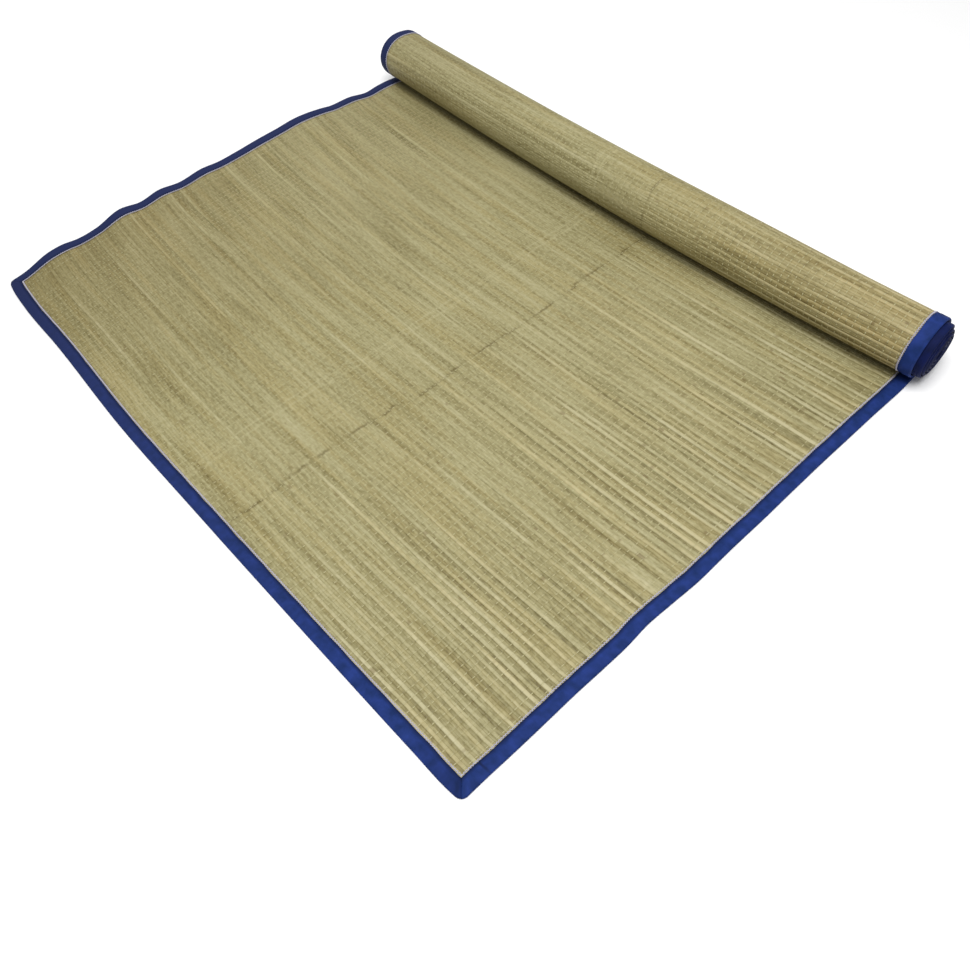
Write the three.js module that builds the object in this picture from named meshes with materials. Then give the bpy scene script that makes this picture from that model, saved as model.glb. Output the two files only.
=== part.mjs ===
// A straw beach mat with blue tape sewn round its edges, half unrolled: the front part lies
// open on the sand, the rest is still wound in a loose roll at the back.
// Pieces: one woven straw panel, and the tapes folded over its front and side edges.
// Millimetres, +Z up, the straws run along X, the mat unrolls towards -Y.
import * as THREE from "three";

// Driving sizes.
const WIDTH = 900; // along the straws, over the tapes
const OPEN = 656; // from the front edge to the roll's centre line
const STRAW = 1; // thickness of the straw panel
const TAPE = 1; // thickness of the tape
const TAPE_WIDTH = 14.5; // how far each half of the folded tape reaches over the straw
const CLEAR = 0.3; // between tape and straw, and at the mitred corners
const TURNS = 7.375; // wound in the roll
const PITCH = 4; // from one turn to the next
const STEPS = 16; // flats in one turn, the lowest of them the roll's flat spot
const CURL_REACH = 380; // how far in from the left edge its curl dies out
const RIPPLE_REACH = 100; // the same for the short ripples of that edge
const STEP_REACH = 100; // how far in from the right edge its small steps die out
const SHORTER = 6; // how much nearer the roll's left end is to its right end
const TELESCOPE = 9; // how far the inner turns have slid out at the right
const BULGE_AT = 258; // where round a turn the slack left end bulges, degrees from the bottom

// Sizes that follow.
const HALF = TAPE + CLEAR + STRAW / 2; // half the thickness of a bound edge
const SETTLE = TAPE + CLEAR; // away from the tapes the straw sinks this far, to the ground
const STEP_ANGLE = (2 * Math.PI) / STEPS;
const WOUND = TURNS * STEPS; // flats in the whole roll

// Sections across the mat, from its left edge. bow: how far the front edge stands ahead of its
// corners. centre: from those corners to the roll's centre line. radius: half the roll's height.
// bulge: slack of the outer turns. lean: slope of the roll's end, square to its bowed line.
const sections = [
  { across: 0, bow: 0, centre: 669, radius: 34.2, bulge: 12, lean: 0.075 },
  { across: 16, bow: 3.2, centre: 667.7, radius: 34.6, bulge: 11, lean: 0.072 },
  { across: 60, bow: 6.3, centre: 664.3, radius: 35.6, bulge: 8.5, lean: 0.065 },
  { across: 160, bow: 7.8, centre: 657.7, radius: 37.4, bulge: 3.4, lean: 0.05 },
  { across: 330, bow: 13.4, centre: 649.8, radius: 38.6, bulge: 0, lean: 0.025 },
  { across: 500, bow: 11.2, centre: 646.1, radius: 38.7, bulge: 0, lean: 0 },
  { across: 680, bow: 7.8, centre: 646.8, radius: 38.5, bulge: 0, lean: -0.018 },
  { across: 840, bow: 3.7, centre: 651.3, radius: 37.9, bulge: 0, lean: -0.035 },
  { across: 884, bow: 1.8, centre: 653.2, radius: 37.6, bulge: 0, lean: -0.04 },
  { across: 900, bow: 0, centre: 654, radius: 37.5, bulge: 0, lean: -0.04 },
];

// Rows along the open part, from its front edge. curl: how high the left side stands off the
// ground. ripple: what its wavy edge adds. out: how far the right edge steps outwards.
const rows = [
  { along: 0, curl: 0, ripple: 0, out: 0 },
  { along: 22, curl: 4, ripple: -1, out: 0 },
  { along: 62, curl: 9.5, ripple: 2.7, out: 0.2 },
  { along: 100, curl: 12.5, ripple: -2, out: 0.4 },
  { along: 138, curl: 14.5, ripple: -0.9, out: 0.3 },
  { along: 168, curl: 16, ripple: 4.1, out: 0.6 },
  { along: 196, curl: 16.8, ripple: -0.8, out: 0.5 },
  { along: 226, curl: 17.2, ripple: 2, out: -1 },
  { along: 256, curl: 17.4, ripple: -2, out: 0.8 },
  { along: 300, curl: 17.5, ripple: -0.3, out: 2 },
  { along: 350, curl: 17.6, ripple: -2, out: 1.5 },
  { along: 400, curl: 18.4, ripple: 0.4, out: 1.6 },
  { along: 450, curl: 19.2, ripple: 1.6, out: 1 },
  { along: 550, curl: 11, ripple: -1.4, out: 1.2 },
  { along: 582, curl: 6, ripple: -0.8, out: 1.4 },
  { along: 612, curl: 2, ripple: 0, out: 1.3 },
  { along: 640, curl: 0, ripple: 0, out: 0.8 },
  { along: OPEN, curl: 0, ripple: 0, out: 0.5 },
];

// One column of a table at a place between two of its rows, or a little past its ends.
function read(table, key, at, column) {
  let i = 1;
  while (i < table.length - 1 && table[i][key] < at) i++;
  const before = table[i - 1];
  const after = table[i];
  const share = (at - before[key]) / (after[key] - before[key]);
  return THREE.MathUtils.lerp(before[column], after[column], share);
}

// From 1 at zero down to 0 at one, in a straight line.
const fall = (share) => THREE.MathUtils.clamp(1 - share, 0, 1);

// From 0 at zero up to 1 at one, smoothly.
const rise = (share) => THREE.MathUtils.smoothstep(share, 0, 1);

// How far the straw sinks from the middle of a bound edge: not at all under the tapes.
function sink(across, along) {
  const side = Math.min(across, WIDTH - across);
  return SETTLE * rise((side - 16) / 44) * rise((along - 22) / 40);
}

// One point of the mat: across from the left edge, along from the front edge, and height above
// the middle of a bound edge. Past OPEN, along counts the flats of the roll instead of
// millimetres, so every turn has its corners at the same angles.
function place(across, along, height) {
  const row = (column) => read(rows, "along", Math.min(along, OPEN), column);
  const angle = Math.max(0, along - OPEN - 0.5) * STEP_ANGLE;
  const turns = angle / (2 * Math.PI);
  const steppedOut = row("out") * fall((WIDTH - across) / STEP_REACH);
  const drawnIn = SHORTER * (1 - across / WIDTH) * rise(turns / 0.5);
  const slidOut = TELESCOPE * rise((turns - 0.9) / 2.6);
  const x = across + steppedOut + drawnIn + slidOut;
  const section = (column) => read(sections, "across", x, column);
  const centre = section("centre");
  if (along <= OPEN) {
    const curl = row("curl") * fall(across / CURL_REACH) ** 2;
    const ripple = row("ripple") * fall(across / RIPPLE_REACH) ** 2;
    const y = THREE.MathUtils.lerp(-section("bow"), centre, along / OPEN);
    return [x, y, HALF + curl + ripple + height];
  }
  const flat = Math.cos(STEP_ANGLE / 2);
  const outermost = (section("radius") - HALF) / flat + PITCH / 4;
  const facing = Math.max(0, Math.cos(angle - THREE.MathUtils.degToRad(BULGE_AT)));
  const slack = section("bulge") * facing ** 2 * fall((turns - 0.72) / 2.5);
  const reach = outermost - PITCH * turns + slack - height;
  const y = reach * Math.sin(angle);
  const z = HALF + outermost * flat - reach * Math.cos(angle);
  return [x + section("lean") * y, centre + y, z];
}

// A closed piece from its corners and its four-sided faces, turned to face outwards.
function piece(name, corners, faces, material) {
  const index = faces.flatMap(([a, b, c, d]) => [a, b, c, a, c, d]);
  let volume = 0;
  for (let i = 0; i < index.length; i += 3) {
    const [a, b, c] = index.slice(i, i + 3).map((k) => new THREE.Vector3(...corners[k]));
    volume += a.dot(b.cross(c));
  }
  if (volume < 0) index.reverse();
  const geometry = new THREE.BufferGeometry();
  geometry.setAttribute("position", new THREE.Float32BufferAttribute(corners.flat(), 3));
  geometry.setIndex(index);
  const mesh = new THREE.Mesh(geometry, material);
  mesh.name = name;
  return mesh;
}

// A strip of even thickness that follows a path. skins(station) gives the corners of its two
// skins there, one list for each side, of the same length.
function strip(name, stations, skins, material) {
  const rings = stations.map(skins);
  const width = rings[0][0].length;
  const corners = rings.flatMap(([under, over]) => [...under, ...over]);
  const at = (i, over, j) => (i * 2 + over) * width + j;
  const last = stations.length - 1;
  const faces = [];
  for (let i = 0; i < last; i++) {
    for (let j = 0; j < width - 1; j++) {
      faces.push([at(i, 1, j), at(i, 1, j + 1), at(i + 1, 1, j + 1), at(i + 1, 1, j)]);
      faces.push([at(i + 1, 0, j), at(i + 1, 0, j + 1), at(i, 0, j + 1), at(i, 0, j)]);
    }
    const j = width - 1;
    faces.push([at(i, 0, 0), at(i, 1, 0), at(i + 1, 1, 0), at(i + 1, 0, 0)]);
    faces.push([at(i + 1, 0, j), at(i + 1, 1, j), at(i, 1, j), at(i, 0, j)]);
  }
  for (let j = 0; j < width - 1; j++) {
    faces.push([at(0, 0, j + 1), at(0, 1, j + 1), at(0, 1, j), at(0, 0, j)]);
    faces.push([at(last, 0, j), at(last, 1, j), at(last, 1, j + 1), at(last, 0, j + 1)]);
  }
  return piece(name, corners, faces, material);
}

// A tape folded over an edge. put(inwards, station, height) places a corner of it, inwards
// counted from the fold. The outer skin runs up one half, round the fold and back.
function tape(name, stations, put, material) {
  const skins = (station) => {
    const skin = (fold, height) => [
      put(TAPE_WIDTH, station, -height),
      put(fold, station, -height),
      put(fold, station, height),
      put(TAPE_WIDTH, station, height),
    ];
    return [skin(0, HALF), skin(TAPE, HALF - TAPE)];
  };
  return strip(name, stations, skins, material);
}

const acrossStations = sections.map((section) => section.across);
const openStations = rows.map((row) => row.along);
const woundStations = Array.from({ length: WOUND }, (_, i) => OPEN + 1 + i);
const alongStations = [...openStations, ...woundStations];

const strawColour = new THREE.MeshStandardMaterial({ color: 0xaaa06e, roughness: 0.75 });
const tapeColour = new THREE.MeshStandardMaterial({ color: 0x1f378c, roughness: 0.85 });

// The straw panel: one woven sheet from just inside the front tape to the heart of the roll.
const inset = TAPE + CLEAR;
const panel = strip(
  "straw_panel",
  alongStations,
  (station) => {
    const along = Math.max(station, inset);
    const skin = (side) =>
      acrossStations.map((line) => {
        const across = THREE.MathUtils.clamp(line, inset, WIDTH - inset);
        return place(across, along, side * (STRAW / 2) - sink(across, along));
      });
    return [skin(-1), skin(1)];
  },
  strawColour,
);

// The front tape runs from corner to corner, its ends cut to a mitre.
const mitre = CLEAR * Math.SQRT1_2;
const frontTape = tape(
  "front_tape",
  acrossStations,
  (inwards, station, height) => {
    const end = inwards + mitre;
    return place(THREE.MathUtils.clamp(station, end, WIDTH - end), inwards, height);
  },
  tapeColour,
);

// The side tapes run from the front corners into the heart of the roll, wound with the straw.
const leftTape = tape(
  "left_tape",
  alongStations,
  (inwards, station, height) => place(inwards, Math.max(station, inwards + mitre), height),
  tapeColour.clone(),
);
const rightTape = tape(
  "right_tape",
  alongStations,
  (inwards, station, height) =>
    place(WIDTH - inwards, Math.max(station, inwards + mitre), height),
  tapeColour.clone(),
);

// The whole mat, its origin on the ground under the middle of its box.
const mat = new THREE.Group();
mat.name = "beach_mat";
mat.add(panel, frontTape, leftTape, rightTape);
const middle = new THREE.Box3().setFromObject(mat).getCenter(new THREE.Vector3());
for (const mesh of mat.children) mesh.geometry.translate(-middle.x, -middle.y, 0);

export default mat;
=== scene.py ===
"""A straw beach mat with blue tape sewn round its edges, half unrolled on a pale floor.

The front part lies open, its left edge curled up and wavy. The rest is wound in a loose roll.
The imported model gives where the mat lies. The straws, threads and tapes here stand for its solids.
"""

import math

import bpy
import numpy as np
from mathutils import Matrix, Vector


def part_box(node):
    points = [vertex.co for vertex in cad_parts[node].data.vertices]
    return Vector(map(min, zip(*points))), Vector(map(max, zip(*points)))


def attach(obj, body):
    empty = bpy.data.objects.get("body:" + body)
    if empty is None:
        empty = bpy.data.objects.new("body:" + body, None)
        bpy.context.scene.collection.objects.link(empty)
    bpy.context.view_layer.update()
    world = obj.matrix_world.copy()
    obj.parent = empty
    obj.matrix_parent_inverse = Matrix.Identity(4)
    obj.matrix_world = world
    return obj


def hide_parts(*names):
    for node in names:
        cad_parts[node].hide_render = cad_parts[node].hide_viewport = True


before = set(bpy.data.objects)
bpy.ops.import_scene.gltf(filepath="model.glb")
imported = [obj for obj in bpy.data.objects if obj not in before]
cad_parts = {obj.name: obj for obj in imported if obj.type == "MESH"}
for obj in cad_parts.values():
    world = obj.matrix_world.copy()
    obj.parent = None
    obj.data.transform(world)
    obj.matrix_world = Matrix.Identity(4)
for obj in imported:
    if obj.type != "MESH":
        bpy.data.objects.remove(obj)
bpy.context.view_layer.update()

MM = 0.001


# The mat's lie on the ground. One sheet carries every piece: its front part is flat, bowed along
# the front and curled up along the left edge, and past the flat part it winds into a loose
# spiral. Lengths in these tables and in the sheet's own coordinates are millimetres.

WIDTH = 900  # along the straws, over the tapes
OPEN = 656  # from the front edge to the roll's centre line
PITCH = 4  # from one turn of the roll to the next
TURNS = 7.375
HALF = 1.7  # half the thickness of the bound edge
CURL_REACH = 380  # how far in from the left edge its curl dies out
RIPPLE_REACH = 100  # the same for the short ripples of that edge
STEP_REACH = 100  # how far in from the right edge its small steps die out
SHORTER = 6  # how much nearer the roll's left end is to its right end
TELESCOPE = 11  # how far the inner turns have slid out at the right, most of it in one turn
BULGE_AT = math.radians(258)  # where round a turn the slack left end bulges
OUTER_TURN = 37.2  # a middling radius of the outermost turn
MITRE = 0.2121  # the gap at a mitred corner of the solids, measured along the edge

# Sections across the mat. bow: how far the front edge stands ahead of its corners. centre: from
# those corners to the roll's centre line. radius: half the roll's height. bulge: slack of the
# outer turns. lean: slope of the roll's end.
SECTIONS = [
    dict(across=0, bow=0, centre=669, radius=34.2, bulge=12, lean=0.075),
    dict(across=16, bow=2.8, centre=667.7, radius=34.6, bulge=11, lean=0.072),
    dict(across=60, bow=6.2, centre=664.3, radius=35.4, bulge=8.5, lean=0.065),
    dict(across=160, bow=7.0, centre=657.7, radius=36.9, bulge=3.4, lean=0.05),
    dict(across=330, bow=12.1, centre=649.8, radius=38.1, bulge=0, lean=0.025),
    dict(across=500, bow=10.3, centre=646.1, radius=38.6, bulge=0, lean=0),
    dict(across=680, bow=7.0, centre=646.8, radius=38.4, bulge=0, lean=-0.018),
    dict(across=840, bow=3.3, centre=651.3, radius=36.8, bulge=0, lean=-0.035),
    dict(across=884, bow=2.0, centre=653.2, radius=36.6, bulge=0, lean=-0.04),
    dict(across=900, bow=0.2, centre=654, radius=36.5, bulge=0, lean=-0.04),
]

# Rows along the open part. curl: how high the left side stands off the ground. ripple: what its
# wavy edge adds. out: how far the right edge steps outwards.
ROWS = [
    dict(along=0, curl=0, ripple=0, out=-0.5),
    dict(along=22, curl=3.5, ripple=-1, out=-0.8),
    dict(along=62, curl=9.5, ripple=2.9, out=-0.5),
    dict(along=80, curl=11, ripple=2, out=-0.5),
    dict(along=100, curl=12.3, ripple=-2.2, out=-0.6),
    dict(along=128, curl=14, ripple=-2.6, out=-0.8),
    dict(along=168, curl=15.8, ripple=4.5, out=-0.2),
    dict(along=196, curl=16.5, ripple=-1, out=-0.1),
    dict(along=226, curl=17, ripple=2, out=-1.7),
    dict(along=256, curl=17, ripple=-2.1, out=-0.4),
    dict(along=294, curl=17, ripple=0.6, out=1.5),
    dict(along=320, curl=17, ripple=-1.7, out=1.1),
    dict(along=345, curl=17, ripple=-1.1, out=0.8),
    dict(along=390, curl=17.8, ripple=0.5, out=1),
    dict(along=420, curl=18.5, ripple=0.6, out=0.7),
    dict(along=450, curl=18.8, ripple=1.9, out=0.5),
    dict(along=495, curl=16, ripple=-0.3, out=0.4),
    dict(along=512, curl=14, ripple=-1.8, out=0.6),
    dict(along=549, curl=10, ripple=0.1, out=0.9),
    dict(along=580, curl=6.5, ripple=-2.4, out=1.2),
    dict(along=600, curl=5, ripple=0.5, out=1.7),
    dict(along=622, curl=4, ripple=1.1, out=2),
    dict(along=640, curl=3.5, ripple=0, out=1.6),
    dict(along=OPEN, curl=3.5, ripple=0, out=1),
]

# The front left corner of the mat, from the boxes of the two tapes that meet there.
corner = Vector((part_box("front_tape")[0].x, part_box("left_tape")[0].y, 0))
corner -= Vector((MITRE, MITRE, 0)) * MM


def read(table, key, column, at):
    """A column of a table, smooth between its rows and straight past its ends."""
    places = np.array([row[key] for row in table], float)
    values = np.array([row[column] for row in table], float)
    slopes = np.gradient(values, places)
    inside = np.clip(at, places[0], places[-1])
    i = np.clip(np.searchsorted(places, inside) - 1, 0, len(places) - 2)
    step = places[i + 1] - places[i]
    t = (inside - places[i]) / step
    start, end = values[i], values[i + 1]
    leave, arrive = slopes[i] * step, slopes[i + 1] * step
    smooth = start + (3 * (end - start) - 2 * leave - arrive) * t**2
    smooth += leave * t + (2 * (start - end) + leave + arrive) * t**3
    edge = np.where(at < places[0], slopes[0], slopes[-1])
    return smooth + (at - inside) * edge


def rise(share):
    """From 0 at zero up to 1 at one, smoothly."""
    share = np.clip(share, 0, 1)
    return share * share * (3 - 2 * share)


def fall(share):
    """From 1 at zero down to 0 at one, straight."""
    return np.clip(1 - share, 0, 1)


def turn_angle(past):
    """How far round the roll the sheet has gone, in radians, past the end of its flat part."""
    return (OUTER_TURN - np.sqrt(OUTER_TURN**2 - PITCH * past / np.pi)) * 2 * np.pi / PITCH


LENGTH = OPEN + OUTER_TURN * TURNS * 2 * np.pi - PITCH * np.pi * TURNS**2


def place(across, along):
    """Points of the sheet's middle, in metres where the model lies."""
    across, along = np.broadcast_arrays(np.asarray(across, float), along)
    flat = np.minimum(along, OPEN)
    angle = turn_angle(np.maximum(along - OPEN, 0))
    turns = angle / (2 * np.pi)
    stepped_out = read(ROWS, "along", "out", flat) * fall((WIDTH - across) / STEP_REACH)
    drawn_in = SHORTER * (1 - across / WIDTH) * rise(turns / 0.5)
    slid_out = TELESCOPE * (0.75 * rise((turns - 0.8) / 0.8) + 0.25 * rise((turns - 1.6) / 2))
    x = across + stepped_out + drawn_in + slid_out
    bow, centre, radius, bulge, lean = (
        read(SECTIONS, "across", column, x)
        for column in ("bow", "centre", "radius", "bulge", "lean")
    )
    curl = read(ROWS, "along", "curl", flat) * fall(across / CURL_REACH) ** 2
    ripple = read(ROWS, "along", "ripple", flat) * fall(across / RIPPLE_REACH) ** 2
    outermost = radius - HALF + PITCH / 4
    slack = bulge * np.maximum(0, np.cos(angle - BULGE_AT)) ** 2 * fall((turns - 0.72) / 2.5)
    reach = outermost - PITCH * turns + slack
    wound = along > OPEN
    swing = np.where(wound, reach * np.sin(angle), 0)
    y = np.where(wound, centre, -bow + (centre + bow) * flat / OPEN) + swing
    z = HALF + curl + ripple + np.where(wound, outermost - reach * np.cos(angle), 0)
    points = np.stack([x + lean * swing, y, z], axis=-1) * MM
    return points + np.array(corner)


def guide_mesh():
    """The sheet's middle as a grid that the woven pieces are wrapped onto, its UV map in metres."""
    across = np.linspace(-3, WIDTH + 3, 76)
    along = np.concatenate([np.arange(-3, OPEN, 4), np.arange(OPEN, LENGTH + 2, 2)])
    points = place(across[None, :], along[:, None])
    rows, columns = points.shape[:2]
    at = np.arange(rows * columns).reshape(rows, columns)
    faces = np.stack([at[:-1, :-1], at[:-1, 1:], at[1:, 1:], at[1:, :-1]], -1).reshape(-1, 4)
    mesh = bpy.data.meshes.new("guide")
    mesh.from_pydata(points.reshape(-1, 3).tolist(), [], faces.tolist())
    mesh.shade_smooth()
    flat = np.stack(np.broadcast_arrays(across[None, :], along[:, None]), -1).reshape(-1, 2) * MM
    layer = mesh.uv_layers.new(name="sheet")
    layer.data.foreach_set("uv", flat[faces.reshape(-1)].reshape(-1).astype(np.float32))
    return mesh


guide = bpy.data.objects.new("guide", guide_mesh())


# The woven straw panel: rows of flattened rush stalks laid side by side. A row is two stalks,
# their thick ends at the side edges and their thin tips overlapping a hand's breadth in the
# middle. Every third or fourth stalk is a fat one that stands proud, most of all at the right.

STALKS = 538  # rows of them in the whole length
THIN, FAT = 1.35, 2.5  # thickness of a common stalk and of the fattest
TIP = 11  # how long a tip thins out, while the stalk from the other side takes up the row
SNUG = 1.08  # how much wider a stalk is than its place, squeezed against its neighbours
INSET = 1.2  # from the mat's edge to the straw's, inside the fold of the tape
LEFT_TIPS, RIGHT_TIPS = 529, 442  # how far across the tips of the left and right stalks end
SEAM_STEP, STEP_AT = 9, 232  # the tips' sidestep, and how far along it starts
ROUND = 7  # radius of the mat's front corners, where the first butts are cut shorter
WARP = 7.8  # from one warp thread to the next
OFF_FLOOR = 0.07  # how little an open stalk clears the floor


def add(tree, kind, inputs=(), **settings):
    """A new node: its settings, then its inputs, by name or in order, each a value or a link."""
    node = tree.nodes.new(kind)
    for name, value in settings.items():
        setattr(node, name, value)
    sockets = [socket for socket in node.inputs if socket.enabled]
    if isinstance(inputs, dict):
        pairs = [(next(s for s in sockets if s.name == name), v) for name, v in inputs.items()]
    else:
        pairs = zip(sockets, inputs)
    for socket, value in pairs:
        if isinstance(value, bpy.types.Node):
            value = next(output for output in value.outputs if output.enabled)
        if isinstance(value, bpy.types.NodeSocket):
            tree.links.new(value, socket)
        else:
            socket.default_value = value
    return node


def new_tree(name, **inputs):
    """A geometry node tree with these named inputs, each with its value, and its input sockets."""
    tree = bpy.data.node_groups.new(name, "GeometryNodeTree")
    kinds = {"Geometry": None, "Guide": None} | inputs
    for title, value in kinds.items():
        kind = {"Guide": "Object", "Geometry": title, "Material": title}.get(title, "Float")
        socket = tree.interface.new_socket(title, in_out="INPUT", socket_type="NodeSocket" + kind)
        if value is not None:
            socket.default_value = value
    tree.interface.new_socket("Geometry", in_out="OUTPUT", socket_type="NodeSocketGeometry")
    return tree, tree.nodes.new("NodeGroupInput").outputs


def wrap_group():
    """Node group: takes geometry laid out flat, as across, along and height, onto the guide."""
    tree, given = new_tree("wrap onto the sheet")
    flat = add(tree, "GeometryNodeInputPosition")
    kept = add(
        tree, "GeometryNodeStoreNamedAttribute",
        {"Geometry": given["Geometry"], "Name": "weave", "Value": flat},
        data_type="FLOAT2", domain="CORNER",
    )
    sheet = add(tree, "GeometryNodeObjectInfo", [given["Guide"]]).outputs["Geometry"]
    chart = add(tree, "GeometryNodeInputNamedAttribute", ["sheet"], data_type="FLOAT_VECTOR")
    normal = add(tree, "GeometryNodeInputNormal")
    there, up = (
        add(
            tree, "GeometryNodeSampleUVSurface", [sheet, value, chart, flat],
            data_type="FLOAT_VECTOR",
        )
        for value in (flat, normal)
    )
    up = add(tree, "ShaderNodeVectorMath", [up], operation="NORMALIZE")
    height = add(tree, "ShaderNodeSeparateXYZ", [flat]).outputs["Z"]
    lift = add(tree, "ShaderNodeVectorMath", [up, height], operation="SCALE")
    wrapped = add(
        tree, "GeometryNodeSetPosition", {"Geometry": kept, "Position": there, "Offset": lift}
    )
    add(tree, "NodeGroupOutput", [wrapped])
    return tree


wrap = wrap_group()


def end_tree(tree, given, laid):
    """Ends a tree: what it laid out flat is wrapped onto the guide, smoothed and coloured."""
    wrapped = add(tree, "GeometryNodeGroup", node_tree=wrap)
    tree.links.new(laid.outputs[0], wrapped.inputs["Geometry"])
    tree.links.new(given["Guide"], wrapped.inputs["Guide"])
    smooth = add(tree, "GeometryNodeSetShadeSmooth", {"Geometry": wrapped})
    real = add(tree, "GeometryNodeRealizeInstances", [smooth])
    coloured = add(
        tree, "GeometryNodeSetMaterial", {"Geometry": real, "Material": given["Material"]}
    )
    add(tree, "NodeGroupOutput", [coloured])
    return tree


def new_piece(name, mesh):
    """An object in the scene that rides on the mat's one body."""
    piece = bpy.data.objects.new(name, mesh)
    bpy.context.scene.collection.objects.link(piece)
    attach(piece, "root")
    return piece


def made_by(tree, name, layout, material):
    """A plain mesh object from a layout mesh and the node tree that builds it on the guide."""
    maker = bpy.data.objects.new(name + " layout", layout)
    bpy.context.scene.collection.objects.link(maker)
    modifier = maker.modifiers.new("make", "NODES")
    modifier.node_group = tree
    sockets = {s.name: s.identifier for s in tree.interface.items_tree if s.in_out == "INPUT"}
    modifier[sockets["Guide"]] = guide
    modifier[sockets["Material"]] = material
    graph = bpy.context.evaluated_depsgraph_get()
    mesh = bpy.data.meshes.new_from_object(maker.evaluated_get(graph))
    bpy.data.objects.remove(maker)
    mesh.name = name
    return new_piece(name, mesh)


def layout_mesh(points, edges=(), **columns):
    """A mesh of bare points or lines, from millimetres, with an attribute for each named column."""
    mesh = bpy.data.meshes.new("layout")
    mesh.from_pydata((np.asarray(points) * MM).tolist(), list(edges), [])
    for name, values in columns.items():
        values = np.asarray(values, np.float32)
        kind, field = ("FLOAT_VECTOR", "vector") if values.ndim == 2 else ("FLOAT", "value")
        mesh.attributes.new(name, kind, "POINT").data.foreach_set(field, values.ravel())
    return mesh


# Where the rows lie, a little uneven, and where each stalk starts: its butt at a side edge.
rng = np.random.default_rng(11)
row_edges = np.linspace(INSET, LENGTH - INSET, STALKS + 1)
row_edges[1:-1] += rng.uniform(-0.35, 0.35, STALKS - 1)
row_middles = (row_edges[1:] + row_edges[:-1]) / 2
cut = np.clip(ROUND - INSET / 2 - row_edges[:-1], 0, ROUND - INSET)
butts = ROUND - np.sqrt((ROUND - INSET) ** 2 - cut**2)

# Part of the way along the mat the seam of tips steps to the right. The right stalks' tips end
# by turns at one warp or the next.
seam_step = SEAM_STEP * rise((row_middles - STEP_AT) / 26)
wander = np.sin(row_middles / 31) + np.repeat(rng.normal(0, 1.3, 60), 9)[:STALKS]
left_tips = LEFT_TIPS + seam_step + wander + rng.normal(0, 0.5, STALKS)
right_tips = RIGHT_TIPS + seam_step + rng.choice([-4.5, 4.5], STALKS) + rng.normal(0, 0.8, STALKS)


def bunched(sizes, proud):
    """Edges and fatness of stalks in bunches, one stalk in each wider and fatter than the rest."""
    widths, fatness = [], []
    while len(widths) < STALKS:
        size = int(rng.choice(sizes))
        fat = rng.choice(proud) * rng.uniform(0.75, 1.2)
        bunch = rng.uniform(0.85, 1.05, size)
        odd = int(rng.integers(size))
        bunch[odd] *= 1 + 0.3 * fat
        widths += (bunch * size / bunch.sum()).tolist()
        fatness += [fat if i == odd else 0.0 for i in range(size)]
    widths = np.array(widths[:STALKS]) * (row_edges[-1] - row_edges[0]) / sum(widths[:STALKS])
    return row_edges[0] + np.concatenate([[0], np.cumsum(widths)]), np.array(fatness[:STALKS])


def stalks(butt, tips, others, sizes, proud, ease):
    """One set of stalks: where its sections are, their half widths and thicknesses, and a value for
    painted light on them, from -1 for painted shadow on the stalk just in front of a fat one to 1
    for a painted highlight on a fat one's crest."""
    butt = butt[:, None]
    way = np.sign(tips[:1] - butt[-1:])
    shared_from = np.abs(others[:, None] - butt)  # from the butt to the other stalk's tip
    long = np.abs(tips[:, None] - butt)
    steps = np.array([0, 0.025, 0.07, 0.15, 0.26, 0.4, 0.56, 0.74, 0.9])  # closer at the butt
    ends = [shared_from - 1, shared_from + TIP, (shared_from + long) / 2, long - TIP, long]
    inwards = np.concatenate([(shared_from - 8) * steps, *ends], axis=1)
    share = np.array([1] * 10 + [0.56, 0.56, 0.56, 0.4])  # how much of the row it fills
    aside = np.array([0] * 10 + [0.25, 0.25, 0.25, 0.3])  # how far it makes room, in row widths
    bunch_edges, fatness = bunched(sizes, proud)
    grown = ease + (1 - ease) * rise(1 - inwards / 400)  # bunching grows towards the butt
    front = row_edges[:-1, None] * (1 - grown) + bunch_edges[:-1, None] * grown
    back = row_edges[1:, None] * (1 - grown) + bunch_edges[1:, None] * grown
    along = (back + front) / 2 - way * aside * (back - front)
    across = butt + way * inwards
    free = rise((inwards - 20) / 60) * rise((long - 100 - inwards) / 100)  # to wander a little
    along = along + free * 0.9 * np.sin(across / 43 + np.sin(along / 37) * 2 + along / 90)
    half_width = (back - front) / 2 * share * SNUG
    # painted light: a highlight on each fat stalk's crest and a painted shadow on the stalk in front
    # of it
    stand = (fatness - 0.5 * np.roll(fatness, -1) - fatness.mean() / 2)[:, None] * grown
    fatness = fatness[:, None] * grown
    pressed = 1 - 0.3 * fall((inwards - 12) / 20)  # squeezed flat inside the sewn tape
    half_thick = (THIN + (FAT - THIN) * np.minimum(fatness, 1)) / 2 * pressed
    half_thick = half_thick * rng.uniform(0.92, 1.08, (STALKS, 1))
    return across, along, half_width, half_thick, stand


def resting(across, along, half_thick):
    """Height of a stalk's middle: down on the floor where the mat is open, outside the tapes."""
    side = np.minimum(across, WIDTH - across)
    free = rise((side - 14) / 30) * rise((along - 14) / 26) * rise((OPEN + 8 - along) / 20)
    return (half_thick + OFF_FLOOR - HALF) * free


def stalk_layout(across, along, half_width, half_thick, stand):
    """The centre lines of a set of stalks, with what the node tree and the material need."""
    height = resting(across, along, half_thick) + rng.uniform(-0.06, 0.06, (STALKS, 1))
    height = height + np.array([0] * 12 + [0.1, 0.25])  # the tip lifts off the row
    middle = np.stack([across, along, height], -1).reshape(-1, 3)
    half = np.stack([np.zeros_like(across), half_width, half_thick], -1).reshape(-1, 3)
    at = np.arange(across.size).reshape(across.shape)
    edges = np.stack([at[:, :-1], at[:, 1:]], -1).reshape(-1, 2).tolist()
    return layout_mesh(
        middle, edges, middle=middle * MM, half=half * MM, stand=stand.ravel(),
        shade=np.repeat(rng.uniform(0, 1, STALKS), across.shape[1]),
        seam=(across - left_tips[:, None]).ravel() * MM,
    )


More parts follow.
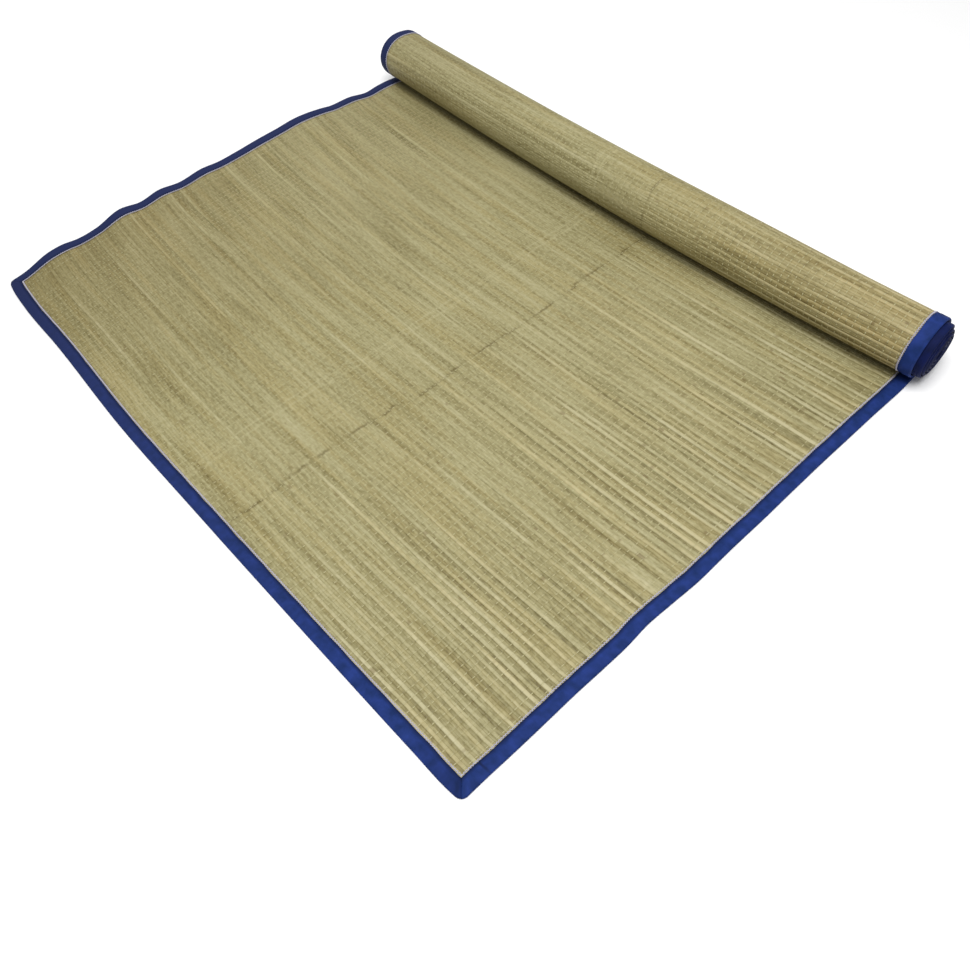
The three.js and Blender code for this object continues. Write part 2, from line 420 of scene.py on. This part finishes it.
def stalk_tree():
    """Sweeps a flattened section along each centre line, sizes it, and wraps the result."""
    tree, given = new_tree("rush stalks", Material=None, Rounding=0.36)
    lines = add(tree, "GeometryNodeMeshToCurve", [given["Geometry"]])
    upright = add(tree, "GeometryNodeSetCurveNormal", {"Curve": lines}, mode="Z_UP")
    square = add(tree, "GeometryNodeCurvePrimitiveQuadrilateral", {"Width": 2.0, "Height": 2.0})
    section = add(
        tree, "GeometryNodeFilletCurve",
        {"Curve": square, "Count": 1, "Radius": given["Rounding"]}, mode="POLY",
    )
    swept = add(
        tree, "GeometryNodeCurveToMesh",
        {"Curve": upright, "Profile Curve": section, "Fill Caps": True},
    )
    middle, half = (
        add(tree, "GeometryNodeInputNamedAttribute", [name], data_type="FLOAT_VECTOR")
        for name in ("middle", "half")
    )
    where = add(tree, "GeometryNodeInputPosition")
    out = add(tree, "ShaderNodeVectorMath", [where, middle], operation="SUBTRACT")
    sized = add(tree, "ShaderNodeVectorMath", [out, half, middle], operation="MULTIPLY_ADD")
    shaped = add(tree, "GeometryNodeSetPosition", {"Geometry": swept, "Position": sized})
    return end_tree(tree, given, shaped)


def linear(colour):
    """An sRGB hex colour as the linear red, green, blue and alpha that Blender takes."""
    channels = [(colour >> shift & 255) / 255 for shift in (16, 8, 0)]
    return [c / 12.92 if c <= 0.04045 else ((c + 0.055) / 1.055) ** 2.4 for c in channels] + [1]


def blank_material(name):
    """A material with an empty node tree, and that tree."""
    material = bpy.data.materials.new(name)
    material.use_nodes = True
    material.node_tree.nodes.clear()
    return material, material.node_tree


def drawn_line(tree, measure, at, core, faded, strength):
    """A line where a measure in metres passes a value: at its strength as far off as the core,
    and nothing where it has faded."""
    beside = add(tree, "ShaderNodeMath", [measure, -at], operation="ADD")
    beside = add(tree, "ShaderNodeMath", [beside], operation="ABSOLUTE")
    return add(tree, "ShaderNodeMapRange", [beside, core, faded, strength, 0.0])


def straw_material():
    """Dried rush straw, pressed flat: a satin skin, from olive brown to cream. Streaks run along
    the stalks, some shared by a few neighbours. Painted highlights lie on the crests of fat stalks,
    and painted shadow falls just in front of them and along the seam where the left stalks' cut tips
    end."""
    material, tree = blank_material("dried rush straw")
    weave = add(tree, "ShaderNodeUVMap", uv_map="weave")
    split = add(tree, "ShaderNodeSeparateXYZ", [weave]).outputs
    shade, seam, stand = (
        add(tree, "ShaderNodeAttribute", attribute_name=name).outputs["Fac"]
        for name in ("shade", "seam", "stand")
    )

    # Three sizes of unevenness: bands over a few stalks, streaks on one, and fine mottling. A
    # stalk that stands proud is painted lighter, a painted highlight on its crest, and the stalk
    # just in front of it is painted darker, a painted shadow.
    own = add(tree, "ShaderNodeMath", [shade, 900.0], operation="MULTIPLY")
    lane = add(tree, "ShaderNodeCombineXYZ", {"Y": own})
    tones = []
    for scale, offset, detail in (
        ((5, 105, 0), (0, 0, 0), 3.0), ((11, 0, 0), lane, 2.0), ((150, 350, 0), (0, 0, 0), 2.0)
    ):
        spot = add(tree, "ShaderNodeVectorMath", [weave, scale, offset], operation="MULTIPLY_ADD")
        tones.append(
            add(tree, "ShaderNodeTexNoise", {"Vector": spot, "Scale": 1.0, "Detail": detail})
        )
    bands, streaks, mottle = tones
    lively = add(tree, "ShaderNodeMapRange", [split["X"], 0.4, 0.85, 0.62, 1.15])
    tone = add(tree, "ShaderNodeMath", [streaks, 0.68, -0.34], operation="MULTIPLY_ADD")
    fine = add(tree, "ShaderNodeMath", [mottle, 0.8, -0.4], operation="MULTIPLY_ADD")
    tone = add(tree, "ShaderNodeMath", [tone, lively, fine], operation="MULTIPLY_ADD")
    tone = add(tree, "ShaderNodeMath", [bands, 0.9, tone], operation="MULTIPLY_ADD")
    weight = add(tree, "ShaderNodeMapRange", [streaks, 0.35, 0.65, 0.2, 0.5])
    weight = add(tree, "ShaderNodeMath", [weight, lively], operation="MULTIPLY")
    # painted highlight on the crests of fat stalks, painted shadow just in front of them
    tone = add(tree, "ShaderNodeMath", [stand, weight, tone], operation="MULTIPLY_ADD")
    tone = add(tree, "ShaderNodeMath", [tone, 0.04], operation="ADD")
    colour = add(tree, "ShaderNodeValToRGB", [tone])
    ramp = colour.color_ramp
    ramp.elements[0].position, ramp.elements[0].color = 0.0, linear(0x635933)
    ramp.elements[1].position, ramp.elements[1].color = 1.0, linear(0xB7B08B)
    ramp.elements.new(0.3).color = linear(0x877F56)
    ramp.elements.new(0.55).color = linear(0x9E976E)
    colour = colour.outputs["Color"]

    # Browner towards the front left corner, on a bunch of stalks here and there, and at the
    # roll's right.
    brown = add(tree, "ShaderNodeMapRange", [split["X"], 0.0, 0.36, 1.0, 0.0])
    front = add(tree, "ShaderNodeMapRange", [split["Y"], 0.1, 0.45, 1.0, 0.35])
    brown = add(tree, "ShaderNodeMath", [brown, front], operation="MULTIPLY")
    hue = add(tree, "ShaderNodeSeparateColor", [bands.outputs["Color"]]).outputs["Green"]
    warm = add(tree, "ShaderNodeMapRange", [hue, 0.45, 0.65, 0.0, 1.0])
    onto_roll = (OPEN - 5) * MM, (OPEN + 60) * MM
    wound = add(tree, "ShaderNodeMapRange", [split["Y"], *onto_roll, 0.0, 0.9])
    right = add(tree, "ShaderNodeMapRange", [split["X"], 0.45, 0.88, 0.0, 1.0])
    wound = add(tree, "ShaderNodeMath", [wound, right], operation="MULTIPLY")

    # Along most of the seam a thin dark line is painted shadow, where the cut ends of the left
    # stalks lie over the right stalks. Those of the right stalks make two pale dotted lines. Here
    # and there a stalk has a short stained length.
    spot = add(tree, "ShaderNodeVectorMath", [weave, (0, 34, 0)], operation="MULTIPLY")
    chance = add(tree, "ShaderNodeTexNoise", {"Vector": spot, "Scale": 1.0, "Detail": 1.0})
    some = add(tree, "ShaderNodeMapRange", [chance, 0.45, 0.55, 0.08, 0.58])
    # painted shadow along the seam where the left stalks' tips end
    dark = drawn_line(tree, seam, 0.0, 0.0005, 0.0026, 1.0)
    dark = add(tree, "ShaderNodeMath", [some, dark], operation="MULTIPLY")
    far_tips = drawn_line(tree, seam, -0.091, 0.0005, 0.0022, 0.22)
    near_tips = drawn_line(tree, seam, -0.082, 0.0005, 0.0022, 0.22)
    spot = add(tree, "ShaderNodeVectorMath", [weave, (40, 0, 7), lane], operation="MULTIPLY_ADD")
    marks = add(tree, "ShaderNodeTexNoise", {"Vector": spot, "Scale": 1.7, "Detail": 1.0})
    stained = add(tree, "ShaderNodeMapRange", [marks, 0.69, 0.75, 0.0, 0.5])
    stained = add(tree, "ShaderNodeMath", [stained, lively], operation="MULTIPLY")
    for share, tint, blend in (
        (brown, 0xDCD5C6, "MULTIPLY"), (warm, 0xFFFAF0, "MULTIPLY"),
        (wound, 0xF8EEE0, "MULTIPLY"), (dark, 0x5E5128, "MIX"), (far_tips, 0xC0B992, "MIX"),
        (near_tips, 0xC0B992, "MIX"), (stained, 0x6C5A34, "MIX"),
    ):
        colour = add(
            tree, "ShaderNodeMix", [share, colour, linear(tint)],
            data_type="RGBA", blend_type=blend,
        ).outputs[2]

    # Bump in millimetres: fibres along the stalk, and the pinch at each warp.
    spot = add(tree, "ShaderNodeVectorMath", [weave, (50, 1500, 0)], operation="MULTIPLY")
    fibre = add(tree, "ShaderNodeTexNoise", {"Vector": spot, "Scale": 1.0, "Detail": 2.0})
    beat = add(
        tree, "ShaderNodeMath", [split["X"], 2 * math.pi / (WARP * MM)], operation="MULTIPLY"
    )
    wave = add(tree, "ShaderNodeMath", [beat], operation="COSINE")
    pinch = add(
        tree, "ShaderNodeMapRange", [wave, 0.3, 1.0, 0.0, -0.25], interpolation_type="SMOOTHSTEP"
    )
    relief = add(tree, "ShaderNodeMath", [fibre, 0.08, pinch], operation="MULTIPLY_ADD")
    bump = add(tree, "ShaderNodeBump", {"Distance": MM, "Height": relief})
    shader = add(
        tree, "ShaderNodeBsdfPrincipled",
        {"Base Color": colour, "Roughness": 0.55, "IOR": 1.4, "Normal": bump},
    )
    add(tree, "ShaderNodeOutputMaterial", [shader])
    return material


straw = straw_material()
rush = stalk_tree()
left_set = stalks(butts, left_tips, right_tips, [3, 4, 5], [0.05, 0.15, 0.7], 0.35)
right_set = stalks(WIDTH - butts, right_tips, left_tips, [2, 3, 3, 3], [0.5, 0.8, 1], 0.3)
left_stalks = made_by(rush, "straw_stalks_left", stalk_layout(*left_set), straw)
right_stalks = made_by(rush, "straw_stalks_right", stalk_layout(*right_set), straw)
for piece in left_stalks, right_stalks:
    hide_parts("straw_panel")

# The warps: thin pale twine woven over and under the stalks by turns, about a hundred lines of
# it from the front edge into the roll. Only its dashes on the outside of a stalk ever show.

TWINE, TWINE_THICK = 0.9, 0.24  # width and thickness of the flattened twine
BITE = 0.04  # how far the twine's middle sinks below the skin of a stalk
LAST_WARP = WIDTH - 6  # across, in millimetres
UNDER_TAPE = 16  # a dash nearer to a side edge than this would be inside the tape
ON_ROLL = 250  # as deep into the roll as the dashes on its outside go


def dash_layout(side):
    """Where the twine shows: on top of the open part, or (side -1) on the outside of the roll."""
    warps = np.arange(WARP, LAST_WARP, WARP) + rng.uniform(-0.5, 0.5, int(LAST_WARP / WARP))
    points, sizes = [], []
    for across, along, half_width, half_thick, _ in (left_set, right_set):
        low, high = (14, OPEN + 6) if side > 0 else (OPEN - 6, OPEN + ON_ROLL)
        for i in np.flatnonzero((row_middles > low) & (row_middles < high)):
            order = np.argsort(across[i])
            at = warps[(np.arange(len(warps)) + i + (side < 0)) % 2 == 0]
            at = at + rng.uniform(-0.2, 0.2, len(at))
            ends = across[i].min() + 4, across[i].max() - 4
            at = at[(at > max(ends[0], UNDER_TAPE)) & (at < min(ends[1], WIDTH - UNDER_TAPE))]
            middle, width, thick = (
                np.interp(at, across[i][order], values[i][order])
                for values in (along, half_width, half_thick)
            )
            height = resting(at, middle, thick) + side * (thick - BITE)
            points.append(np.stack([at, middle, height], -1))
            twine_size = np.broadcast_arrays(TWINE / 2, width * 1.05, TWINE_THICK / 2)
            sizes.append(np.stack(twine_size, -1))
    return layout_mesh(np.concatenate(points), size=np.concatenate(sizes) * MM)


def dash_tree():
    """Puts a short flat dash of twine at each place, sizes it, and wraps the result."""
    tree, given = new_tree("twine", Material=None)
    size = add(tree, "GeometryNodeInputNamedAttribute", ["size"], data_type="FLOAT_VECTOR")
    dash = add(tree, "GeometryNodeMeshCube", {"Size": (2, 2, 2)})
    dashes = add(
        tree, "GeometryNodeInstanceOnPoints",
        {"Points": given["Geometry"], "Instance": dash.outputs["Mesh"], "Scale": size},
    )
    laid = add(tree, "GeometryNodeRealizeInstances", [dashes])
    return end_tree(tree, given, laid)


def twine_material():
    """Cotton twine, matt and pale, darker towards the left edge."""
    material, tree = blank_material("pale cotton twine")
    place_on_mat = add(tree, "ShaderNodeTexCoord").outputs["Object"]
    split = add(tree, "ShaderNodeSeparateXYZ", [place_on_mat]).outputs
    pale = add(tree, "ShaderNodeMapRange", [split["X"], -0.45, 0.2, 0.0, 1.0])
    colour = add(
        tree, "ShaderNodeMix", [pale, linear(0xA8A179), linear(0xB2AB82)], data_type="RGBA"
    ).outputs[2]
    shader = add(
        tree, "ShaderNodeBsdfPrincipled", {"Base Color": colour, "Roughness": 0.8, "IOR": 1.5}
    )
    add(tree, "ShaderNodeOutputMaterial", [shader])
    return material


twine = twine_material()
warp_threads = [
    made_by(dash_tree(), "warp_threads_top", dash_layout(1), twine),
    made_by(dash_tree(), "warp_threads_outside", dash_layout(-1), twine),
]

# The tapes: woven blue binding folded over each edge and sewn through, one along the front and
# one along each side, with mitred corners. The side tapes are wound into the roll with the straw.

TAPE = 0.5  # thickness of the tape
TAPE_WIDTH = 14.5  # how far each half reaches over the straw
THREAD = 1.1  # from one raised thread of its weave to the next
CREASE = 33  # from the front edge to the crease across the right tape

# The upper half of the tape over its inner part: puffed up, drawn down by the stitching.
TOP = [
    dict(inwards=3.2, height=1.72),
    dict(inwards=4.5, height=1.88),
    dict(inwards=7, height=1.95),
    dict(inwards=9.2, height=1.82),
    dict(inwards=10.8, height=1.55),
    dict(inwards=12.2, height=1.28),
    dict(inwards=13.2, height=1.32),
    dict(inwards=TAPE_WIDTH, height=1.15),
]


def lay(across, along, height):
    """Points at a height above the sheet's middle, square to it."""
    across, along = np.broadcast_arrays(np.asarray(across, float), along)
    side = place(across + 0.2, along) - place(across - 0.2, along)
    ahead = place(across, along + 0.2) - place(across, along - 0.2)
    up = np.cross(side, ahead)
    up /= np.linalg.norm(up, axis=-1, keepdims=True)
    return place(across, along) + up * (np.asarray(height)[..., None] * MM)


def tape_section(loose):
    """The tape's outer skin round the fold, from one inner edge to the other: inwards, height."""
    turn = np.linspace(0, np.pi, 9)
    fold = np.stack([2.4 * (1 - np.sin(turn)), 1.6 * np.cos(turn)], -1)  # half an oval
    inwards, height = (np.array([row[name] for row in TOP]) for name in ("inwards", "height"))
    top = np.stack([inwards, height + 0.16 * loose * np.sin(np.pi * (inwards - 2) / 12.5)], -1)
    under = np.stack([inwards, np.minimum(height, 1.6) * -0.97], -1)
    return np.concatenate([top[::-1], fold, under])


def inner_skin(section):
    """The same section moved inwards by the tape's thickness."""
    step = np.gradient(section, axis=0)
    step /= np.linalg.norm(step, axis=1, keepdims=True)
    return section + TAPE * np.stack([-step[:, 1], step[:, 0]], -1)


def waver(along, seed, *lengths):
    """A gentle unevenness: the mean of waves of these lengths."""
    phases = np.random.default_rng(seed).uniform(0, 2 * np.pi, len(lengths))
    waves = [np.sin(2 * np.pi * along / l + p) for l, p in zip(lengths, phases)]
    return sum(waves) / len(waves)


def rounded(across, along):
    """Draws places near a front corner in to the round of it."""
    near = np.minimum(across, WIDTH - across)
    u, v = (np.clip(1 - far / ROUND, 0, 1) for far in (near, along))
    in_across = ROUND * u * (1 - np.sqrt(1 - v * v / 2))
    in_along = ROUND * v * (1 - np.sqrt(1 - u * u / 2))
    return across + np.where(across < WIDTH / 2, in_across, -in_across), along + in_along


def bind(name, stations, put, seed):
    """A tape over an edge. put(inwards, station) says which place of the sheet a point is over."""
    rings, charts = [], []
    for station in stations:
        loose = waver(station, seed, 47, 83, 29)
        section = tape_section(loose)
        pucker = 0.05 * np.sin(2 * np.pi * station / 6.4)  # where the stitches pull
        both = np.concatenate([section, inner_skin(section)[::-1]])
        stretch = 1 + (0.35 * waver(station, seed + 1, 31, 67) + 0.12 * loose) / TAPE_WIDTH
        height = both[:, 1] + pucker * (both[:, 0] > 9) * np.sign(both[:, 1])
        rings.append(lay(*rounded(*put(both[:, 0] * stretch, station)), height))
        run = np.cumsum(np.hypot(*np.gradient(both, axis=0).T))
        run -= run[0]
        charts.append(np.stack([run, np.full_like(run, station)], -1) * MM)
    rings, charts = np.array(rings), np.array(charts).reshape(-1, 2)
    count, around = rings.shape[:2]
    at = np.arange(count * around).reshape(count, around)
    after = np.roll(at, -1, axis=1)
    faces = np.stack([at[:-1], after[:-1], after[1:], at[1:]], -1).reshape(-1, 4).tolist()
    for end in at[0][::-1].tolist(), at[-1].tolist():  # closed from the outer skin to the inner
        for j in range(around // 2 - 1):
            faces.append([end[j], end[j + 1], end[-2 - j], end[-1 - j]])
    mesh = bpy.data.meshes.new(name)
    mesh.from_pydata(rings.reshape(-1, 3).tolist(), [], faces)
    mesh.shade_smooth()
    corners = np.zeros(len(mesh.loops), int)
    mesh.loops.foreach_get("vertex_index", corners)
    chart = charts[corners].astype(np.float32)
    mesh.uv_layers.new(name="weave").data.foreach_set("uv", chart.ravel())
    return new_piece(name, mesh)


def tape_material():
    """Woven polyester binding: navy blue plain weave, dull, its thread relief drawn coarser than
    the real one so that it shows."""
    material, tree = blank_material("woven binding tape")
    weave = add(tree, "ShaderNodeUVMap", uv_map="weave")
    cloud = add(tree, "ShaderNodeTexNoise", {"Vector": weave, "Scale": 90.0, "Detail": 3.0})
    cloud = add(tree, "ShaderNodeMapRange", [cloud, 0.3, 0.7, 0.0, 1.0])
    colour = add(
        tree, "ShaderNodeMix", [cloud, linear(0x122859), linear(0x21377A)], data_type="RGBA"
    ).outputs[2]

    # Painted shade: darker towards the left, where the curled edge faces away from the light, deep
    # in the roll between the turns, along the inner edge in the dip where the stitching draws it
    # down, and in the crease of the right tape.
    split = add(tree, "ShaderNodeSeparateXYZ", [weave]).outputs
    where = add(tree, "ShaderNodeTexCoord").outputs["Object"]
    sideways = add(tree, "ShaderNodeSeparateXYZ", [where]).outputs["X"]
    # painted shade on the left tape, curled up and turned from the light
    left = add(tree, "ShaderNodeMapRange", [sideways, -0.45, 0.3, 1.0, 0.0])
    # painted shade between the turns deep inside the roll
    into_roll = (OPEN + 170) * MM, (OPEN + 340) * MM
    deep = add(tree, "ShaderNodeMapRange", [split["Y"], *into_roll, 0.0, 1.0])
    # painted shade along the inner edge, in the dip where the stitching draws the tape down
    pressed = add(tree, "ShaderNodeMapRange", [split["X"], 0.0006, 0.0042, 0.8, 0.0])
    # painted shade in the crease across the right tape
    creased = drawn_line(tree, split["Y"], CREASE * MM, 0.0003, 0.0018, 0.75)
    fading = add(tree, "ShaderNodeMapRange", [split["X"], 0.004, 0.013, 1.0, 0.3])
    right = add(tree, "ShaderNodeMath", [sideways, 0.4], operation="GREATER_THAN")
    for limit in fading, right:
        creased = add(tree, "ShaderNodeMath", [creased, limit], operation="MULTIPLY")
    for share, tint, blend in (
        (left, 0x212A50, "MIX"), (deep, 0x84829C, "MULTIPLY"), (pressed, 0x0A1638, "MIX"),
        (creased, 0x0A1434, "MIX"),
    ):
        colour = add(
            tree, "ShaderNodeMix", [share, colour, linear(tint)],
            data_type="RGBA", blend_type=blend,
        ).outputs[2]

    # The relief of its threads.
    threads = []
    for axis in "XY":
        turn = add(
            tree, "ShaderNodeMath", [split[axis], 2 * math.pi / (THREAD * MM)],
            operation="MULTIPLY",
        )
        threads.append(add(tree, "ShaderNodeMath", [turn], operation="SINE"))
    grid = add(tree, "ShaderNodeMath", threads, operation="MULTIPLY")
    bump = add(tree, "ShaderNodeBump", {"Strength": 0.2, "Distance": 0.0002, "Height": grid})
    skin = {"Base Color": colour, "Roughness": 0.7, "IOR": 1.45, "Specular IOR Level": 0.15}
    shader = add(tree, "ShaderNodeBsdfPrincipled", skin | {"Normal": bump})
    add(tree, "ShaderNodeOutputMaterial", [shader])
    return material


blue = tape_material()


def mitred(inwards, station):
    """How far along an edge a point of the tape is, its end cut to a mitre at a front corner."""
    return station + (inwards + 0.05) * fall(station / 22)


def on_front(inwards, station):
    """Where a point of the front tape is over the sheet: both its ends are mitred."""
    left = mitred(inwards, station)
    right = WIDTH - mitred(inwards, WIDTH - station)
    return np.where(station < WIDTH / 2, left, right), inwards


side_stations = np.concatenate([np.arange(0, OPEN, 3), np.arange(OPEN, LENGTH, 2)])
front_tape = bind("front_tape_cloth", np.linspace(0, WIDTH, 258), on_front, 3)
left_tape = bind("left_tape_cloth", side_stations, lambda i, s: (i, mitred(i, s)), 5)
right_tape = bind("right_tape_cloth", side_stations, lambda i, s: (WIDTH - i, mitred(i, s)), 7)
for piece, node, length in (
    (front_tape, "front_tape", WIDTH),
    (left_tape, "left_tape", LENGTH),
    (right_tape, "right_tape", LENGTH),
):
    piece.data.materials.append(blue)
    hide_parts(node)

# The stitching: a zigzag of pale thread over the inner edge of each tape, on both faces of the
# mat, sewn by machine through tape and straw.

ZIGZAG = 1.3  # along the edge, from one stitch to the next
STITCHED = TAPE_WIDTH + 1.15  # from the edge to the middle of the zigzag
SEEN_TO = OPEN + 500  # as deep into the roll as a stitch can be seen


def stitch_layout():
    """Where each stitch crosses a tape's inner edge, and which way it slants."""
    points, turns = [], []
    for edge, end in ("front", WIDTH - TAPE_WIDTH - 1), ("left", SEEN_TO), ("right", SEEN_TO):
        stations = np.arange(TAPE_WIDTH + 1, end, ZIGZAG)
        count = len(stations)
        for side in 1, -1:
            slant = np.where(np.arange(count) % 2, 0.5, -0.5) + rng.uniform(-0.1, 0.1, count)
            inwards = STITCHED + rng.uniform(-0.1, 0.1, count)
            height = np.full(count, side * 1.25)
            if edge == "front":
                across, along = stations, inwards
            else:
                across, along = (inwards if edge == "left" else WIDTH - inwards), stations
                slant = slant + np.pi / 2
            points.append(np.stack([across, along, height], -1))
            turns.append(np.stack([0 * slant, 0 * slant, slant], -1))
    return layout_mesh(np.concatenate(points), turn=np.concatenate(turns))


def stitch_tree():
    """Lays a short thread across the edge at each place, turned to its slant, and wraps it."""
    tree, given = new_tree("zigzag stitches", Material=None, Length=1.7 * MM, Thickness=0.55 * MM)
    turn = add(tree, "GeometryNodeInputNamedAttribute", ["turn"], data_type="FLOAT_VECTOR")
    size = add(
        tree, "ShaderNodeCombineXYZ",
        {"X": given["Thickness"], "Y": given["Length"], "Z": given["Thickness"]},
    )
    thread = add(tree, "GeometryNodeMeshUVSphere", {"Segments": 4, "Rings": 3, "Radius": 1.0})
    stitches = add(
        tree, "GeometryNodeInstanceOnPoints",
        {
            "Points": given["Geometry"], "Instance": thread.outputs["Mesh"],
            "Rotation": turn, "Scale": size,
        },
    )
    laid = add(tree, "GeometryNodeRealizeInstances", [stitches])
    return end_tree(tree, given, laid)


thread = bpy.data.materials.new("pale sewing thread")
thread.use_nodes = True
thread_shader = thread.node_tree.nodes["Principled BSDF"].inputs
thread_shader["Base Color"].default_value = linear(0xB8B5C2)
thread_shader["Roughness"].default_value = 0.7
stitching = made_by(stitch_tree(), "tape_stitching", stitch_layout(), thread)

# The studio, which is no part of the mat: a wide floor in pale matt paint, a white room of soft
# light with one wide lamp overhead, a weak one behind and one on the floor at the far left, and
# the camera, which stands off the front right corner and looks back, held a little askew.

floor_mesh = bpy.data.meshes.new("floor")
floor_mesh.from_pydata([(-6, -6, 0), (6, -6, 0), (6, 6, 0), (-6, 6, 0)], [], [(0, 1, 2, 3)])
floor = bpy.data.objects.new("floor", floor_mesh)
bpy.context.scene.collection.objects.link(floor)
paint = bpy.data.materials.new("pale floor")
paint.use_nodes = True
paint_shader = paint.node_tree.nodes["Principled BSDF"].inputs
paint_shader["Base Color"].default_value = linear(0xFCFCFC)
paint_shader["Roughness"].default_value = 0.9
floor_mesh.materials.append(paint)

world = bpy.data.worlds.new("soft room")
world.use_nodes = True
background = world.node_tree.nodes["Background"].inputs
background["Color"].default_value = (1, 1, 1, 1)
background["Strength"].default_value = 0.3
bpy.context.scene.world = world
bpy.context.scene.view_settings.view_transform = "Standard"


def soft_light(name, at, aim, size, watts):
    """A square lamp of this size in metres, turned to face its aim."""
    data = bpy.data.lights.new(name, "AREA")
    data.size = size
    data.energy = watts
    light = bpy.data.objects.new(name, data)
    light.location = at
    light.rotation_euler = (Vector(aim) - Vector(at)).to_track_quat("-Z", "Y").to_euler()
    bpy.context.scene.collection.objects.link(light)


soft_light("overhead", (0.45, -0.35, 2.1), (0.1, 0, 0), 1.3, 49)
soft_light("from behind", (-0.6, 1.9, 1.6), (0, 0.2, 0), 1.2, 6.5)
soft_light("on the floor", (-1.5, 0.6, 0.9), (-1.7, 0.7, 0), 0.8, 7)

LENS = 31.0
EYE = Vector((1.07834, -0.0730, 0.69552))  # in metres from the mat's front left corner, as
AIM = Vector((0.67983, 0.22396, 0))  # is the place on the floor that it looks at
ASKEW = math.radians(-6.7)
camera_data = bpy.data.cameras.new("camera")
camera_data.lens = LENS
camera = bpy.data.objects.new("camera", camera_data)
eye = corner + EYE
turned = (corner + AIM - eye).to_track_quat("-Z", "Y").to_matrix()
turned @= Matrix.Rotation(ASKEW, 3, "Z")
camera.matrix_world = Matrix.Translation(eye) @ turned.to_4x4()
bpy.context.scene.collection.objects.link(camera)
bpy.context.scene.camera = camera
